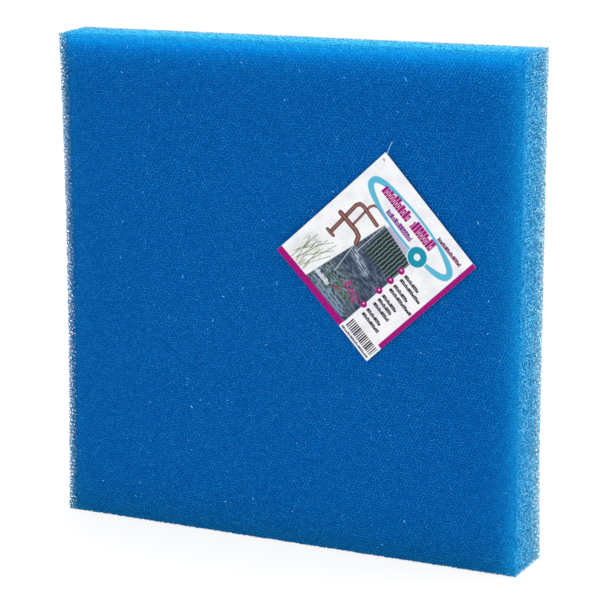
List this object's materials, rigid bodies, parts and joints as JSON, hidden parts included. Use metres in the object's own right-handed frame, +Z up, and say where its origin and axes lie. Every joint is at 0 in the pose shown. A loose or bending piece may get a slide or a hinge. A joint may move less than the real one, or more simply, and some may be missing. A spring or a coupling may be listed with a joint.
{
  "type": "filter foam mat",
  "caption": "Square blue open-cell filter foam mat, with a square printed card label hung from its front face on a clear plastic tag pin.",
  "frame": {"origin": "centre of the foam mat's bottom face, on which it stands", "axes": "+X along the mat to the right as seen from the labelled front, +Y from the front face towards the back, +Z up"},
  "size_m": [0.5, 0.053, 0.5],
  "materials": {
    "blue_foam": "matte",
    "clear_nylon": "gloss",
    "printed_card": "satin"
  },
  "bodies": {
    "mat": {"foam_block": "blue_foam"},
    "pin": {"tag_pin_anchor": "clear_nylon"},
    "thread": {"tag_pin_thread": "clear_nylon"},
    "card": {"label_card": "printed_card"}
  },
  "joints": [
    {"name": "pin_swing", "type": "hinge", "parent": "mat", "child": "pin", "pos_m": [0.1178, -0.025, 0.4103], "axis": [0, -1, 0], "range_deg": [-180, 180]},
    {"name": "thread_lift", "type": "hinge", "parent": "pin", "child": "thread", "pos_m": [0.1178, -0.026, 0.4103], "axis": [-0.9085, 0, 0.4179], "range_deg": [0, 165]},
    {"name": "card_swing", "type": "hinge", "parent": "thread", "child": "card", "pos_m": [0.10999, -0.025, 0.39331], "axis": [0, -1, 0], "range_deg": [-60, 25]}
  ]
}
